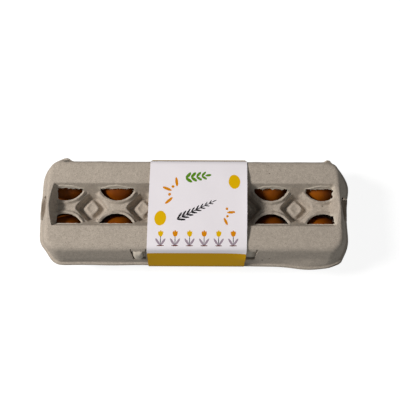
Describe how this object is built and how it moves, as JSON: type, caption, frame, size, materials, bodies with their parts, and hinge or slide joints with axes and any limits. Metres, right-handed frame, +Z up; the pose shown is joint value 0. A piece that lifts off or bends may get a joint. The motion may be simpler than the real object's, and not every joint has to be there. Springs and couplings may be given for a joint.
{
  "type": "egg carton with eggs",
  "caption": "Closed moulded pulp carton with two rows of brown eggs that show through windows in the lid, held shut by a printed paper band.",
  "frame": {"origin": "on the surface that the carton stands on, under the middle of the carton", "axes": "+X along the carton's length, -Y to the front with the two lock tabs, +Y to the back with the hinge, +Z up"},
  "size_m": [0.3006, 0.1106, 0.0704],
  "materials": {
    "pulp": "rough grey moulded paper pulp with fine specks",
    "eggshell": "brown eggshell with a soft sheen",
    "paper": "smooth printed paper"
  },
  "bodies": {
    "root": {"carton": "pulp", "egg_1": "eggshell", "egg_2": "eggshell", "egg_3": "eggshell", "egg_4": "eggshell", "egg_5": "eggshell", "egg_6": "eggshell", "egg_7": "eggshell", "egg_8": "eggshell", "egg_9": "eggshell", "egg_10": "eggshell", "egg_11": "eggshell", "egg_12": "eggshell", "band": "paper"}
  },
  "joints": []
}
